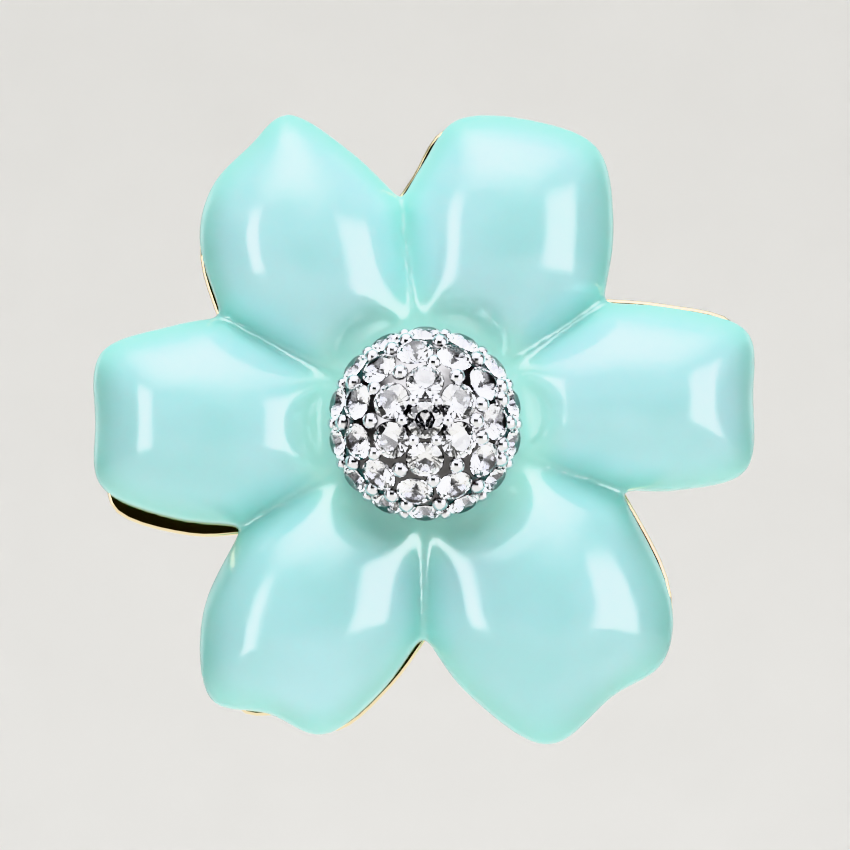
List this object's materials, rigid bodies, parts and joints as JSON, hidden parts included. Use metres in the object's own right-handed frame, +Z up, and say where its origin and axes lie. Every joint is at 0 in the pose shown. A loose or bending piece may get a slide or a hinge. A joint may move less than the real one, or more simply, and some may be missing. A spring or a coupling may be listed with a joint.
{
  "type": "clip-on earring",
  "caption": "Flower-shaped clip-on earring: a translucent moulded resin flower with a stone-set ball in its centre, on a lobed metal plate with a bent spring clip.",
  "frame": {"origin": "middle of the gap between the clip's two pads, where the ear lobe is held", "axes": "+X to the right as seen from the front, -Y the way the flower faces, +Z up as worn"},
  "size_m": [0.0321, 0.016, 0.0306],
  "materials": {
    "resin": "polished milky resin",
    "gold": "polished gold plating",
    "silver": "polished rhodium plating",
    "crystal": "cut and foiled crystal"
  },
  "bodies": {
    "root": {"resin_flower": "resin", "back_plate": "gold", "pave_setting": "silver", "clip": "gold", "stone_1": "crystal", "stone_2": "crystal", "stone_3": "crystal", "stone_4": "crystal", "stone_5": "crystal", "stone_6": "crystal", "stone_7": "crystal", "stone_8": "crystal", "stone_9": "crystal", "stone_10": "crystal", "stone_11": "crystal", "stone_12": "crystal", "stone_13": "crystal", "stone_14": "crystal", "stone_15": "crystal", "stone_16": "crystal", "stone_17": "crystal", "stone_18": "crystal", "stone_19": "crystal", "stone_20": "crystal", "stone_21": "crystal", "stone_22": "crystal", "stone_23": "crystal", "stone_24": "crystal", "stone_25": "crystal", "stone_26": "crystal", "stone_27": "crystal", "stone_28": "crystal", "stone_29": "crystal", "stone_30": "crystal", "stone_31": "crystal", "stone_32": "crystal"}
  },
  "joints": []
}
